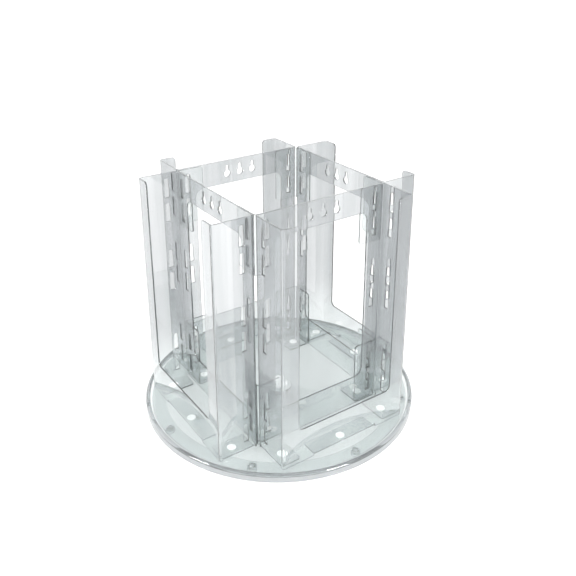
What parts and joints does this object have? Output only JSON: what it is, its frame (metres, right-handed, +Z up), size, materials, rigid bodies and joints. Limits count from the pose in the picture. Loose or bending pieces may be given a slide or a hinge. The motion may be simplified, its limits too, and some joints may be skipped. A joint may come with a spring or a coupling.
{
  "type": "revolving plastic bag holder",
  "caption": "Clear countertop turntable with upright sheet pockets back to back round a square open core, each with front lips and a low front bar, for flat plastic bags.",
  "frame": {"origin": "centre of the plane that the feet stand on, on the turning axis", "axes": "+Z up along the turning axis, -Y towards the front pocket, +X towards the right pocket"},
  "size_m": [0.3809, 0.381, 0.329],
  "materials": {
    "clear_sheet": "clear glossy formed sheet",
    "clear_base": "clear glossy moulded",
    "clear_button": "clear glossy",
    "natural_nylon": "natural translucent nylon, satin"
  },
  "bodies": {
    "base": {"base_disc": "clear_base", "base_feet": "clear_button", "track_ring": "clear_base", "thrust_washer": "natural_nylon", "pivot_bolt": "natural_nylon", "pivot_washer": "natural_nylon", "pivot_nut": "natural_nylon"},
    "turntable": {"turntable_tray": "clear_base", "pivot_bush": "natural_nylon", "glide_buttons": "clear_button", "pocket_front": "clear_sheet", "pocket_right": "clear_sheet", "pocket_back": "clear_sheet", "pocket_left": "clear_sheet", "upper_connector_1": "clear_sheet", "upper_connector_2": "clear_sheet", "upper_connector_3": "clear_sheet", "upper_connector_4": "clear_sheet", "lower_connector_1": "clear_sheet", "lower_connector_2": "clear_sheet", "lower_connector_3": "clear_sheet", "lower_connector_4": "clear_sheet", "rivet_bodies_front": "natural_nylon", "rivet_bodies_right": "natural_nylon", "rivet_bodies_back": "natural_nylon", "rivet_bodies_left": "natural_nylon", "rivet_pins_front": "natural_nylon", "rivet_pins_right": "natural_nylon", "rivet_pins_back": "natural_nylon", "rivet_pins_left": "natural_nylon", "core_rivet_bodies": "natural_nylon", "core_rivet_pins": "natural_nylon"}
  },
  "joints": [
    {"name": "turntable_spin", "type": "hinge", "parent": "base", "child": "turntable", "pos_m": [0, 0, 0], "axis": [0, 0, 1], "continuous": true}
  ]
}
